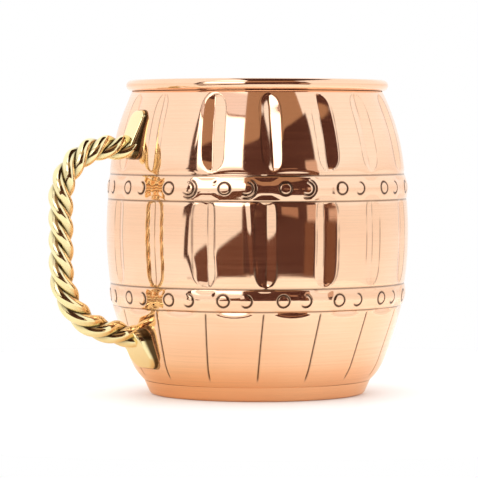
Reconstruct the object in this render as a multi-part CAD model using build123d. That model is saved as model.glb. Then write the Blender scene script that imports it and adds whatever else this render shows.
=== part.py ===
from build123d import *
import os
from math import atan2, cos, degrees, log, radians, sin

# A barrel-shaped drinking mug: a pressed copper shell with staves, hoops and ring marks, a soldered
# base pan, and a cast brass rope handle brazed on at two tabs.
# Millimetres. +Z up. The origin is the centre of the base, on the surface that the mug stands on.
# The handle points along -X.

HEIGHT = 100.0
SHEET = 0.8  # the shell's copper
PAN_SHEET = 0.9
SOLDER = 0.15  # its thickness in the lap seam
TOUCHING = 1e-5  # points closer than this are one point

# The shell's outer surface, as (radius, height) on each run of staves and at the foot.
SEAM = (36.35, 4.65)
TOE_TOP = (41.15, 12.0)
LOWER_STAVE = (43.75, 19.9)
LOWER_HOOP = (28.5, 35.4)  # the heights of its two edges
UPPER_HOOP = (62.3, 70.1)
LOWER_HOOP_RADII = (46.35, 47.1)  # of the staves at those edges
UPPER_HOOP_RADII = (47.95, 47.2)
BELLY = (48.3, 49.5)
SHOULDER = (44.85, 83.5)
HOOP_EDGE = 0.2  # how far a hoop stands proud at its edges
HOOP_CROWN = 0.45  # and in its middle
CREASE_DEPTH = 0.2  # the line pressed along each hoop edge
CREASE_HALF = 0.25

# The rolled rim.
BEAD_RADIUS = 1.75
BEAD_CENTRE = (40.05, HEIGHT - BEAD_RADIUS)
BEAD_START = 207  # degrees, where the wall runs into the roll
BEAD_END = -85  # where the roll's edge stops, just clear of the wall

# The base pan.
FOOT_RADIUS = 33.2
FOOT_CORNER = (34.6, 1.0)
FOOT_TOP = (36.15, 4.35)
FOOT_BEND = 0.3  # how far inside the foot's radius its inner corner starts
JOGGLE = 2.0  # how far up its inner wall the foot turns out to the flange
RING_INNER, RING_OUTER, RING_DEPTH = 22.0, 27.0, 0.7  # the stiffening ring pressed into it
FLANGE_ANGLES = (33, 49.5)  # degrees below level, about the toe's centre

# The staves.
STAVES = 16
STAVE_OFFSET = -8.0  # degrees, from the handle to the first groove
GROOVE_WIDTH = 7.4
GROOVE_DEPTH = 0.5
LINE_WIDTH = 0.5
LINE_DEPTH = 0.22
TOOL_RISE = 2.0  # how far a groove's cutter stands out of the surface
UPPER_GROOVE = (72.0, 94.0)
MIDDLE_GROOVE = (36.6, 61.2)
LINE_ENDS = (6.0, 27.3)
UPPER_TURN = 2.2  # degrees that each run's pattern is turned by, since each was pressed on its own
MIDDLE_TURN = 0.9
LOWER_TURN = -1.2

# The ring marks, two on each stave of each hoop.
RING_MARK_RADIUS = 1.85
RING_MARK_LINE = 0.4
RING_MARK_DEPTH = 0.2
RING_MARK_SPREAD = 4.1  # degrees either side of the stave's middle

# The rope handle.
ROPE_RADIUS = 3.9
ROPE_CREASE = 2.75
STRANDS = 3
ROPE_START = (-43.5, 78.7)
ROPE_TOP_CORNER = (-71.9, 78.7)
ROPE_LOW_CORNER = (-71.6, 25.6)
ROPE_END = (-42.5, 18.9)
ROPE_BENDS = [16.0, 20.0]
PITCH_START = 18.8  # one full turn of a strand, at the upper tab
PITCH_END = 21.8
TWIST_START = 76  # degrees
SECTIONS_PER_TURN = 14

# The tabs.
UPPER_TAB_WIDTH = 8.2
LOWER_TAB_WIDTH = 13.2
TAB_CORNER = 2.6
TAB_BEVEL = 0.7
FRONT_FACING = 0.3  # the least outward lean of a face on the tab's front
BRAZE = 0.2
UPPER_TAB = (74.9, 90.4)  # the heights of its ends
LOWER_TAB = (9.3, 22.4)
TAB_ROOT = 30.0  # well inside the wall, before the barrel is taken away
UPPER_TAB_FACE = [(44.1, 90.4), (47.3, 82.6), (50.2, 77.0), (50.0, 74.9)]
LOWER_TAB_FACE = [(48.9, 22.4), (48.9, 21.0), (41.9, 9.3)]


def inset(points, distance):
    """The three points of an arc, each moved towards its centre."""
    centre = Edge.make_three_point_arc(*points).arc_center
    return [p + (centre - p).normalized() * distance for p in points]


def stave_runs():
    """The outer surface between the hoops, bottom to top: three points of an arc for each run."""
    neck = bead_point(BEAD_RADIUS - SHEET, BEAD_START)
    lower = [TOE_TOP, LOWER_STAVE, (LOWER_HOOP_RADII[0], LOWER_HOOP[0])]
    toe = TangentArc(TOE_TOP, SEAM, tangent=Edge.make_three_point_arc(*lower) % 0 * -1)
    runs = [
        [toe @ 1, toe @ 0.5, toe @ 0],
        lower,
        [(LOWER_HOOP_RADII[1], LOWER_HOOP[1]), BELLY, (UPPER_HOOP_RADII[0], UPPER_HOOP[0])],
        [(UPPER_HOOP_RADII[1], UPPER_HOOP[1]), SHOULDER, neck],
    ]
    return [[Vector(p) for p in run] for run in runs]


def bead_point(radius, angle):
    """A point on a circle about the rim bead's centre, as (radius, height)."""
    x, z = BEAD_CENTRE
    return (x + radius * cos(radians(angle)), z + radius * sin(radians(angle)))


def hoop_arc(heights, radii, distance):
    """A hoop's crowned outer surface, moved in by a distance."""
    low = Vector(radii[0] + HOOP_EDGE - distance, heights[0] + CREASE_HALF)
    high = Vector(radii[1] + HOOP_EDGE - distance, heights[1] - CREASE_HALF)
    crown = Vector((low.X + high.X) / 2 + HOOP_CROWN - HOOP_EDGE, sum(heights) / 2)
    return [low, crown, high]


def wall_arcs(distance):
    """Every arc of the shell's surface from the seam to the neck, moved in by a distance."""
    toe, lower, middle, upper = [inset(run, distance) for run in stave_runs()]
    lower_hoop = hoop_arc(LOWER_HOOP, LOWER_HOOP_RADII, distance)
    upper_hoop = hoop_arc(UPPER_HOOP, UPPER_HOOP_RADII, distance)
    return [toe, lower, lower_hoop, middle, upper_hoop, upper]


def creased(a, b):
    """The way from one arc to the next, over the line pressed along a hoop's edge."""
    if (b - a).length < CREASE_HALF:
        return straight(a, b)
    root = Vector(min(a.X, b.X) - CREASE_DEPTH, (a.Y + b.Y) / 2)
    return [Line(a, root), Line(root, b)]


def wall_edges(arcs, join):
    """The arcs as edges, with what joins each to the next."""
    edges = []
    for this, following in zip(arcs, arcs[1:] + [None]):
        edges.append(Edge.make_three_point_arc(*this))
        if following:
            edges += join(this[-1], following[0])
    return edges


def straight(a, b):
    """A plain line between two arcs, where they don't already meet."""
    return [Line(a, b)] if (b - a).length > TOUCHING else []


def bead_arc(radius):
    """The rolled rim's surface at a radius about the bead's centre."""
    middle = (BEAD_START + BEAD_END) / 2
    return Edge.make_three_point_arc(*[bead_point(radius, a) for a in (BEAD_START, middle, BEAD_END)])


def spin(edges):
    """The solid that a closed outline in (radius, height) makes about the mug's axis."""
    profile = Plane.XZ * make_face(Curve() + edges)
    return revolve(profile, Axis.Z, 360)


def plain_shell():
    """The copper sheet before the staves and ring marks are pressed."""
    outer = wall_arcs(0)
    inner = wall_arcs(SHEET)
    edges = wall_edges(outer, creased) + wall_edges(inner, straight)
    inside_top = bead_point(BEAD_RADIUS, BEAD_START)
    edges += [bead_arc(BEAD_RADIUS - SHEET), bead_arc(BEAD_RADIUS)]
    edges.append(Line(bead_point(BEAD_RADIUS - SHEET, BEAD_END), bead_point(BEAD_RADIUS, BEAD_END)))
    edges += straight(inner[-1][-1], Vector(*inside_top))
    edges.append(Line(outer[0][0], inner[0][0]))
    return spin(edges)


def barrel_body(distance):
    """The barrel's whole volume, grown by a distance: what the tabs are shaped to."""
    arcs = wall_arcs(-distance)
    top = arcs[-1][-1]
    bottom = arcs[0][0]
    edges = wall_edges(arcs, straight)
    edges += [Line(top, (0, top.Y)), Line((0, top.Y), (0, bottom.Y)), Line((0, bottom.Y), bottom)]
    return spin(edges)


def on_arc(arc, height):
    """The outer point of an arc at a height."""
    circle = Edge.make_three_point_arc(*arc)
    centre = circle.arc_center
    rise = height - centre.Y
    return Vector(centre.X + (circle.radius**2 - rise**2) ** 0.5, height)


def groove_tool(arc, heights, width, depth, even):
    """A V-shaped cutter along one stave run. An even one keeps its depth. Others run out at their ends."""
    low, middle, high = [on_arc(arc, z) for z in (heights[0], sum(heights) / 2, heights[1])]
    if even:
        root = inset([low, middle, high], depth)
    else:
        root = [low, inset([low, middle, high], depth)[1], high]
    path = Edge.make_three_point_arc(*root)
    centre = path.arc_center
    outward = (root[0] - centre).normalized()
    half = width / 2 * (depth + TOOL_RISE) / depth
    top = root[0] + outward * (depth + TOOL_RISE)
    triangle = Polyline(
        (root[0].X, 0, root[0].Y), (top.X, half, top.Y), (top.X, -half, top.Y), close=True
    )
    axis = Axis((centre.X, 0, centre.Y), (0, -1, 0))
    sweep = degrees(
        atan2(root[2].Y - centre.Y, root[2].X - centre.X) - atan2(root[0].Y - centre.Y, root[0].X - centre.X)
    )
    return revolve(make_face(triangle), axis, sweep)


def around(tool, angle):
    """A tool at an angle from the handle."""
    return Rot(0, 0, 180 + angle) * tool


def stave_tools():
    """The cutters of every groove between two staves."""
    toe, lower, middle, upper = stave_runs()
    tools = [
        (UPPER_TURN, groove_tool(upper, UPPER_GROOVE, GROOVE_WIDTH, GROOVE_DEPTH, even=False)),
        (MIDDLE_TURN, groove_tool(middle, MIDDLE_GROOVE, GROOVE_WIDTH, GROOVE_DEPTH, even=False)),
        (LOWER_TURN, groove_tool(lower, (TOE_TOP[1], LINE_ENDS[1]), LINE_WIDTH, LINE_DEPTH, even=True)),
        (LOWER_TURN, groove_tool(toe, (LINE_ENDS[0], TOE_TOP[1]), LINE_WIDTH, LINE_DEPTH, even=True)),
    ]
    step = 360 / STAVES
    return [around(tool, STAVE_OFFSET + turn + step * k) for turn, tool in tools for k in range(STAVES)]


def ring_mark_tool(heights, radii):
    """The cutter of one ring mark on a hoop."""
    crown = hoop_arc(heights, radii, 0)[1]
    place = Plane((crown.X - RING_MARK_DEPTH, 0, crown.Y), x_dir=(0, 1, 0), z_dir=(1, 0, 0))
    outer = Circle(RING_MARK_RADIUS + RING_MARK_LINE / 2)
    inner = Circle(RING_MARK_RADIUS - RING_MARK_LINE / 2)
    return extrude(place * (outer - inner), TOOL_RISE)


def ring_mark_tools():
    """The cutters of every ring mark."""
    tools = [ring_mark_tool(LOWER_HOOP, LOWER_HOOP_RADII), ring_mark_tool(UPPER_HOOP, UPPER_HOOP_RADII)]
    step = 360 / STAVES
    angles = [
        STAVE_OFFSET + step * (k + 0.5) + side * RING_MARK_SPREAD for k in range(STAVES) for side in (-1, 1)
    ]
    return [around(t, a) for t in tools for a in angles]


def barrel_shell():
    """The copper shell with its staves and ring marks."""
    return plain_shell() - (stave_tools() + ring_mark_tools())


def toe_point(depth, angle):
    """A point of the shell's toe, a depth inside its outer surface and an angle below level."""
    arc = Edge.make_three_point_arc(*stave_runs()[0])
    centre, radius = arc.arc_center, arc.radius - depth
    return Vector(centre.X + radius * cos(radians(angle)), centre.Y - radius * sin(radians(angle)))


def toe_arc(depth, top, bottom):
    """An arc that follows the shell's toe."""
    return Edge.make_three_point_arc(*[toe_point(depth, a) for a in (top, (top + bottom) / 2, bottom)])


def base_pan():
    """The pressed copper bottom: a flat floor with a stiffening ring, the foot and the lapped flange."""
    top, bottom = FLANGE_ANGLES
    outside, inside = SHEET + SOLDER, SHEET + SOLDER + PAN_SHEET
    ring_middle = (RING_INNER + RING_OUTER) / 2
    slope = atan2(FOOT_TOP[0] - FOOT_CORNER[0], FOOT_TOP[1] - FOOT_CORNER[1])
    wall = Vector(-PAN_SHEET * cos(slope), PAN_SHEET * sin(slope))
    low = Vector(*FOOT_CORNER) + wall
    joggle = low + Vector(sin(slope), cos(slope)) * JOGGLE
    floor = (FOOT_RADIUS - FOOT_BEND, PAN_SHEET)
    edges = [
        Line((0, 0), (RING_INNER, 0)),
        Edge.make_three_point_arc((RING_INNER, 0), (ring_middle, RING_DEPTH), (RING_OUTER, 0)),
        Line((RING_OUTER, 0), (FOOT_RADIUS, 0)),
        TangentArc((FOOT_RADIUS, 0), FOOT_CORNER, tangent=(1, 0)),
        Line(FOOT_CORNER, FOOT_TOP),
        Line(FOOT_TOP, toe_point(outside, bottom)),
        toe_arc(outside, top, bottom),
        Line(toe_point(outside, top), toe_point(inside, top)),
        toe_arc(inside, top, bottom),
        Line(toe_point(inside, bottom), joggle),
        Line(joggle, low),
        Line(low, floor),
        Line(floor, (RING_OUTER, PAN_SHEET)),
        Edge.make_three_point_arc(
            (RING_OUTER, PAN_SHEET), (ring_middle, PAN_SHEET + RING_DEPTH), (RING_INNER, PAN_SHEET)
        ),
        Line((RING_INNER, PAN_SHEET), (0, PAN_SHEET)),
        Line((0, PAN_SHEET), (0, 0)),
    ]
    return spin(edges)


def base_solder():
    """The solder in the lap between the shell and the pan's flange."""
    top = FLANGE_ANGLES[0]
    bottom = degrees(atan2(toe_centre().Y - SEAM[1], SEAM[0] - toe_centre().X))
    edges = [
        toe_arc(SHEET, top, bottom),
        Line(toe_point(SHEET, top), toe_point(SHEET + SOLDER, top)),
        toe_arc(SHEET + SOLDER, top, bottom),
        Line(toe_point(SHEET + SOLDER, bottom), toe_point(SHEET, bottom)),
    ]
    return spin(edges)


def toe_centre():
    """The centre of the toe's arc."""
    return Edge.make_three_point_arc(*stave_runs()[0]).arc_center


def rope_path():
    """The rope's centreline, from the upper tab to the lower one."""
    corners = [(x, 0, z) for x, z in (ROPE_START, ROPE_TOP_CORNER, ROPE_LOW_CORNER, ROPE_END)]
    return FilletPolyline(*corners, radius=ROPE_BENDS)


def twist(distance, length):
    """How far the strands have turned, in degrees, as their pitch grows evenly along the rope."""
    growth = (PITCH_END - PITCH_START) / length
    return TWIST_START - 360 * log(1 + growth * distance / PITCH_START) / growth


def rope_section(path, fraction):
    """The rope's outline across its path: three round lobes between three creases."""
    point = path @ fraction
    along = path % fraction
    plane = Plane(point, x_dir=(0, 1, 0), z_dir=along)
    start = twist(fraction * path.length, path.length)
    step = 360 / STRANDS
    lobes = []
    for k in range(STRANDS):
        a, b, c = [radians(start + step * (k + part)) for part in (0, 0.5, 1)]
        lobes.append(
            Edge.make_three_point_arc(
                (ROPE_CREASE * cos(a), ROPE_CREASE * sin(a)),
                (ROPE_RADIUS * cos(b), ROPE_RADIUS * sin(b)),
                (ROPE_CREASE * cos(c), ROPE_CREASE * sin(c)),
            )
        )
    return plane * make_face(lobes)


def rope():
    """The twisted rope, lofted through its sections."""
    path = rope_path()
    turns = abs(twist(path.length, path.length) - TWIST_START) / 360
    count = round(turns * SECTIONS_PER_TURN)
    return loft([rope_section(path, k / count) for k in range(count + 1)])


def tab(heights, face, width):
    """A wedge-shaped tab with rounded corners and bevelled front edges, before it is shaped to the barrel."""
    outline = [(-TAB_ROOT, heights[0]), (-TAB_ROOT, heights[1])]
    outline = [(-r, z) for r, z in sorted(face, key=lambda p: -p[1])] + outline
    side = make_face(Polyline(*[(x, 0, z) for x, z in outline], close=True))
    wedge = extrude(side, width / 2, both=True)
    wedge = chamfer(front_edges(wedge), TAB_BEVEL)
    tall = heights[1] - heights[0]
    place = Plane((-TAB_ROOT, 0, sum(heights) / 2), x_dir=(0, 1, 0), z_dir=(-1, 0, 0))
    card = extrude(place * RectangleRounded(width, tall, TAB_CORNER), TAB_ROOT)
    return wedge & card


def front_edges(wedge):
    """The long edges down both sides of a tab's front."""
    front = [f for f in wedge.faces() if f.normal_at().X < -FRONT_FACING]
    return [e for f in front for e in f.edges() if abs(e.center().Y) > TAB_CORNER]


def rope_handle(tabs, rope_solid):
    """The brass casting: the rope and both tabs in one piece, with the tabs' backs shaped to the barrel."""
    return (rope_solid + tabs) - barrel_body(BRAZE)


def braze(tab_solid, shell):
    """The brazing metal between one tab and the barrel, which fills the grooves under it."""
    return (tab_solid & barrel_body(BRAZE)) - barrel_body(-SHEET) - shell


def write(name, shape):
    """One piece, as parts/NAME.step."""
    shape.label = name
    export_step(shape, f"parts/{name}.step")


os.makedirs("parts", exist_ok=True)
upper_tab = tab(UPPER_TAB, UPPER_TAB_FACE, UPPER_TAB_WIDTH)
lower_tab = tab(LOWER_TAB, LOWER_TAB_FACE, LOWER_TAB_WIDTH)
shell = barrel_shell()
write("barrel_shell", shell)
write("base_pan", base_pan())
write("base_solder", base_solder())
write("rope_handle", rope_handle([upper_tab, lower_tab], rope()))
write("upper_tab_braze", braze(upper_tab, shell))
write("lower_tab_braze", braze(lower_tab, shell))
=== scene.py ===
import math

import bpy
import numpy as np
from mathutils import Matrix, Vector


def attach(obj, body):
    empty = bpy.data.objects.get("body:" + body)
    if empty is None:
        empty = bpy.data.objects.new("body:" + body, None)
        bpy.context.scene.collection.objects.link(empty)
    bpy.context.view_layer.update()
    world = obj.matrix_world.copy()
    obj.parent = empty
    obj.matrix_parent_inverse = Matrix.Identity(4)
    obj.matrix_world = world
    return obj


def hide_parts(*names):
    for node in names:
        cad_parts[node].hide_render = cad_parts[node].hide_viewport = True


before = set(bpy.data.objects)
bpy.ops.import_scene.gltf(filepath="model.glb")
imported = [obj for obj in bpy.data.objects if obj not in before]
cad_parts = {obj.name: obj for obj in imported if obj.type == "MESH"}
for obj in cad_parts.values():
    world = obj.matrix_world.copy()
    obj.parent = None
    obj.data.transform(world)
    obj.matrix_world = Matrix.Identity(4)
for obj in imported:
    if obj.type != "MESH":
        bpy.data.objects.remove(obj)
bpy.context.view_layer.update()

# A polished copper barrel mug with a cast brass rope handle, on a pale studio table.
# Lengths below are millimetres, turned into metres where a mesh is made. Heights are above the table.
# Angles about the mug's axis are degrees from the handle, which points along -X.

MM = 0.001

# The barrel's outer surface as (radius, height): each run of staves is an arc through three points.
SHEET = 0.8
HEIGHT = 100.0
SEAM = (36.35, 4.65)
TOE_TOP = (41.15, 12.0)
TOE_LEAN = 18.9  # degrees from upright, where the toe's arc meets the staves
LOWER_STAVE = (43.75, 19.9)
LOWER_HOOP = (28.5, 35.4)
UPPER_HOOP = (62.3, 70.1)
LOWER_HOOP_RADII = (46.35, 47.1)
UPPER_HOOP_RADII = (47.8, 47.1)
BELLY = (48.28, 49.5)
SHOULDER = (44.85, 83.5)

# The rolled rim.
BEAD_RADIUS = 1.75
BEAD_CENTRE = (40.05, HEIGHT - BEAD_RADIUS - 0.01)  # a hair low, to stay within the full height
BEAD_START = 207  # degrees round the bead's centre, where the roll leaves the shell and where its edge is
BEAD_END = -85
HIDDEN_START = 187  # where the roll's inner face starts, inside the shell's neck

# Staves. The first groove's angle is STAVE_OFFSET.
STAVES = 16
STAVE_OFFSET = -8.0
GROOVE_EDGE = 0.09  # how softly a groove's edges round over
FACING = 1  # the groove beside the handle, and how much rounder its edges are
FACING_SOFTER = 4.5
GROOVE_CREASE = 0.12  # about how wide a groove's crease is rounded
GROOVE_END_POWER = 0.6  # the power that a groove's depth fades by at its ends
UPPER_ROUNDNESS = 6  # how full a groove's outline is: 2 is an ellipse, and more is squarer
MIDDLE_ROUNDNESS = 7
# The groove marks below are painted shade along each groove's crease and edges.
CREASE_MARK_HALF = 0.16
EDGE_MARK_DEPTH = 0.045
EDGE_MARK = 0.9  # how strong a groove's edges are marked, beside its crease
GROOVE_MARK = 0.75  # how strong all these marks are, beside the hoops' lines
# One middle groove has a slight raised lip to its left.
LIPPED = 3
LIP_HALF = 0.9
LIP_RISE = 0.12
LIP_OUT = 0.5
LIP_LEAN = -0.06  # across for each step up
UPPER_GROOVE = (71.4, 95.4)  # the heights of the grooves' ends
MIDDLE_GROOVE = (36.0, 64.0)
# The grooves were pressed by hand, so each has its own turn in degrees, half-widths to its left and
# right, and depth. Grooves not named here have the plain one.
PLAIN_UPPER = (1.0, 3.6, 3.6, 1.0)
UPPER_GROOVES = {1: (-1.8, 2.7, 2.7, 0.8), 2: (2.2, 3.9, 4.1, 1.28), 3: (3.0, 3.3, 3.6, 1.0),
                 4: (2.0, 2.9, 4.6, 1.0)}
UPPER_LEAN = -0.055  # degrees per millimetre of height
PLAIN_MIDDLE = (0.8, 3.2, 3.2, 0.65)
MIDDLE_GROOVES = {1: (1.1, 3.2, 3.0, 0.6), 2: (1.6, 5.0, 2.5, 0.6), 3: (0.8, 3.6, 3.4, 0.88),
                  4: (0.35, 2.6, 5.0, 0.8)}
LINE_HALF = 0.24
LINE_DEPTH = 0.28
LINE_ENDS = (6.0, 27.9)
LINE_FADES = (2.0, 0.4)  # the lengths over which a line fades at its foot and at its top
LINE_LEAN = 0.11  # degrees per millimetre of height
# Where a stave's end rounds down to a hoop: its length, its drop, and half its width across the stave.
UPPER_SHOULDER = (2.3, 0.6, 8.6)
MIDDLE_SHOULDER = (1.3, 0.22, 9.0)
LOWER_SHOULDER = (2.8, 1.1, 7.2)
SHOULDER_LEAST = 0.08  # the share of the drop that is left between two staves
SHOULDER_LENGTHS = (0.55, 0.45)  # the shares of the length between staves, and added at a stave's middle

# Hoops: a crowned strap, wider and higher round each pair of ring marks.
STRAP_HALF = 2.3
STRAP_RISE = 0.36
PAD_HALF = 3.75
PAD_RISE = 0.64
PAD_ENDS = (4.4, 8.2)  # how far along from a stave's middle the wide part starts and ends its narrowing
CROWN_POWER = 1.4  # the power that the strap's cross-section falls off by
EDGE_LINE_HALF = 0.22
EDGE_LINE_DEPTH = 0.2
RING_RADIUS = 1.85
RING_ECHO = 2.8  # the radius of the second arc outside some of the upper hoop's open rings
ECHO_SPAN = (14.5, 82.0)  # the angles that they lie between
RING_LINE_HALF = 0.25
RING_DEPTH = 0.17
RING_DOME = 0.07
RING_SPREAD = 4.1  # degrees either side of a stave's middle
RING_OFFSET = math.radians(RING_SPREAD) * BELLY[0]  # the same in millimetres
# Each pair's open ring is a whole ring drawn as its shaded side only: painted shade, pressed in and darkened
# there.
WHOLE_RING = 0.95  # how strongly each pair's whole ring is struck, and its open one at the full side
OPEN_RING = 1.25
OPEN_SIDE = (0.55, 0.75, -0.3)  # how full the open ring is at its middle, and how that grows right and up
ECHO_RING = 0.8
HOOP_TURNS = (0.3, 0.9)  # degrees that the lower and the upper hoop's marks are turned by

# How strongly the pressed lines are darkened.
EDGE_LINE_FILL = 0.85
RING_FILL = 2.4
STAVE_LINE_FILL = 1.2

# The rope handle.
ROPE_CORNERS = [(-43.5, 78.7), (-71.9, 78.7), (-71.6, 25.6), (-42.5, 18.9)]
ROPE_BENDS = [16.0, 20.0]
STRANDS = 3
STRAND_RADIUS = 2.2
STRAND_OFFSET = 1.68
TWIST_START = 76
PITCH_START = 18.8
PITCH_END = 21.8
STRAND_SHADE_POWER = 3  # the more, the closer the painted shade keeps to the creases between strands

# The tabs, as heights and (radius, height) points down the front.
UPPER_TAB_WIDTH = 8.2
LOWER_TAB_WIDTH = 13.2
TAB_CORNERS = (3.0, 4.0)  # the radii of the upper and the lower tab's corners
TAB_DRAFT = 0.25  # how much a tab narrows on its way from the barrel, as a slope
TAB_BEVEL = 0.65
TAB_THINNEST = 0.25  # of its thickness, left below the rounded edge
TAB_SHADE_REACH = 0.85  # how far out from the barrel the painted shade on a tab's sides reaches
TAB_SHADE_FADE = 0.35
TAB_SMOOTHING = 1.2  # half the height over which a tab's front is averaged
TAB_GAP = 0.2
UPPER_TAB = (74.9, 90.4)
LOWER_TAB = (9.3, 22.4)
UPPER_TAB_FRONT = [(50.0, 74.9), (50.2, 77.0), (47.3, 82.6), (44.1, 90.4)]
LOWER_TAB_FRONT = [(41.9, 9.3), (48.9, 21.0), (48.9, 22.4)]

# The base pan.
PAN_SHEET = 0.9
FOOT_RADIUS = 33.2
FOOT_CORNER = (34.6, 1.0)
FOOT_TOP = (36.2, 4.5)
PAN_RING = (22.0, 27.0, 0.7)  # the stiffening ring's inner and outer radius and its rise
PAN_GAP = 0.15  # the solder's thickness
PAN_JOGGLE = 2.0
PAN_FLANGE = (49.5, 41, 33)  # degrees down the toe's arc, from the flange's foot to its top
PAN_INNER_CORNER = 0.3  # how far inside FOOT_RADIUS the floor's upper face ends

# How fine the meshes are: the spacing of their rows, and how many columns they have.
TOE_STEP = 0.6
STAVE_STEP = 0.45
HOOP_STEP = 0.19
BELLY_STEP = 0.55
BEAD_STEP = 0.22
HIDDEN_STEP = 0.35
INSIDE_SHARE = 4  # the shell's inside has every fourth row and column of its outside
RING_MARK_ENDS = (0.6, 7.6)  # degrees from a stave's middle that the ring marks span
STAVE_COLUMNS = (2, 34, 12)  # columns before, across and after them
PAN_COLUMNS = 288
ROPE_STEP = 0.35
ROPE_COLUMNS = 96
TAB_CORNER_POINTS = 24
TAB_ROWS = 12
TAB_BACK_RINGS = (0.25, 0.5, 0.75, 1.0)  # shares of the outline's size
TAB_FRONT_RINGS = (0.97, 0.9, 0.75, 0.5, 0.25)
SHARP_ANGLE = 50.0  # degrees between faces, beyond which their edge is shaded sharp

# The camera: its distance from the mug's axis and its height in millimetres, and its angles in degrees.
CAMERA_AZIMUTH = -33.0
CAMERA_DISTANCE = 925.0
CAMERA_HEIGHT = 83.3
CAMERA_PITCH = -2.11
CAMERA_YAW = 0.36
LENS = 217.7
SENSOR_WIDTH = 36.0
FARTHEST = 50.0  # metres

# The metals, by name. brush is how closely brush marks follow each other along X, Y and Z, per metre. The
# heights are in metres, and haze is the share and the colour of what the finest scratches scatter.
# painted_shade_and_lines is the one dark colour of the painted shade and of the darkened pressed lines.
METALS = {
    "polished_copper": dict(
        colour=(0.955, 0.66, 0.46), deep=(0.94, 0.61, 0.41), painted_shade_and_lines=(0.055, 0.020, 0.009),
        roughness=(0.028, 0.06), brush=(60.0, 60.0, 9000.0), brush_height=1.2e-6, dents_height=6e-6,
        haze=(0.07, (1.0, 0.42, 0.25)),
    ),
    "polished_brass": dict(
        colour=(0.94, 0.83, 0.50), deep=(0.92, 0.77, 0.40), painted_shade_and_lines=(0.06, 0.028, 0.006),
        roughness=(0.035, 0.065), brush=(900.0, 900.0, 900.0), brush_height=2e-6, dents_height=1.2e-5,
        haze=(0.02, (0.9, 0.6, 0.2)),
    ),
    "seam_solder": dict(
        colour=(0.62, 0.58, 0.50), deep=(0.45, 0.40, 0.33), painted_shade_and_lines=(0.2, 0.18, 0.15),
        roughness=(0.3, 0.45), brush=(400.0, 400.0, 400.0), brush_height=1e-5, dents_height=2e-5,
        haze=(0.15, (0.5, 0.48, 0.44)),
    ),
    "tab_braze": dict(
        colour=(0.55, 0.36, 0.18), deep=(0.35, 0.18, 0.08), painted_shade_and_lines=(0.1, 0.06, 0.03),
        roughness=(0.25, 0.4), brush=(500.0, 500.0, 500.0), brush_height=1e-5, dents_height=2e-5,
        haze=(0.15, (0.4, 0.2, 0.1)),
    ),
}
# Noise as a scale per metre and a detail, and the noise values that a change runs between.
CLOUD_NOISE = (35.0, 4.0)
CLOUD_TINT = (0.35, 0.7)
CLOUD_DULLING = (0.45, 0.75)
BRUSH_NOISE = (1.0, 3.0, 0.6)  # of places already scaled by brush; the last is the noise's roughness
STREAK_NOISE = (1.0, 3.0, 0.7)
SPECK_NOISE = (900.0, 2.0)
SPECK_SHARE = 0.3  # of the brush marks' height
DENT_NOISE = (160.0, 2.0)
# Noise that breaks the painted shade along the grooves into patches.
SHADE_PATCH_NOISE = (110.0, 2.0)
SHADE_PATCHES = (0.36, 0.56)
BRUSH_DULLING = (0.3, 0.75)
# How fully the painted shade and the darkened lines cover the metal's colour, and how much they dull it.
SHADE_AND_LINES_COVER = 0.95
SHADE_AND_LINES_DULLING = 0.25
STREAK_SCALE = 0.28  # of the brush marks' scale
STREAKS = (0.35, 0.68)
STREAK_HAZE = (0.4, 1.8)  # of the haze's share, where streaks are faintest and strongest
HAZE_ROUGHNESS = 0.6

# The table top, in millimetres, and its colours. The polished copper sees it with painted warm shade round
# the mug and painted brighter light to the right.
TABLE_RADIUS = 190.0
TABLE_CORNERS = 160
TABLE_ROUGHNESS = 0.6
TABLE_SPECULAR = 0.2
TABLE_NOISE = 30.0
TABLE_COLOURS = ((0.93, 0.92, 0.91), (0.91, 0.90, 0.89))
NEAR_PAINTED_SHADE = (0.82, 0.60, 0.38)
FAR_PAINTED_LIGHT = (0.80, 0.78, 0.72)
PAINTED_SHADE_DISTANCES = (0.038, 0.075)  # metres from the mug's axis
RIGHT_PAINTED_LIGHT = (1.0, 1.0, 0.97)
RIGHT_DISTANCES = (-0.02, 0.06)  # metres to the right of the axis
RIGHT_SHARE = 0.4

# The studio, as colours of light by direction from the mug. An azimuth is in degrees from the camera towards
# the image's right, and an elevation is in degrees above level. A tilt is how far an edge rises for each
# degree to the right, and a lean how far it goes left for each degree up. Softness is half an edge's width.
FLOOR_LIGHT = (1.14, 1.14, 1.12)
HORIZON_LIGHT = (1.03, 1.0, 0.96)
ROOM_LIGHT = (1.15, 1.17, 1.2)
FLOOR_TO_HORIZON = (-9.0, 0.0)
HORIZON_TO_ROOM = (3.0, 14.0)
BLACK_FLAG = (0.04, 0.02, 0.015)
# The softbox with a dark bar across it, and its black flag: azimuths, elevations, softness and colour.
SOFTBOX = [
    ((-54, -10), (38, 52), 1.0, (1.0, 0.93, 0.96)),
    ((-52, -11), (52, 84), 1.5, (2.2, 2.2, 2.2)),
    ((-51, -11), (11, 38), 2.0, (2.6, 2.6, 2.6)),
    ((-51, -11), (38.0, 39.2), 0.4, (0.3, 0.15, 0.1)),
    ((-55.2, -51.9), (8.5, 50), 0.5, BLACK_FLAG),
]
# The flag's two lower lengths: lean, azimuths at elevation 0, elevations and softness.
FLAG_FOOT = [
    (-0.23, (-55.4, -51.4), (-8.5, 9.0), 0.4),
    (1.25, (-66.0, -61.5), (-14.5, -7.5), 0.5),
]
FLAG_END_SOFTNESS = 0.5
# A black wedge: elevations, its left edge's lean and azimuths, and its right edge's azimuths.
WEDGE_ELEVATIONS = (4.0, 31.0)
WEDGE_SOFTNESS = 1.0
WEDGE_LEAN = -0.4
WEDGE_LEFT = (-60.0, -59.0)
WEDGE_RIGHT = (-48.2, -47.2)
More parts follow.
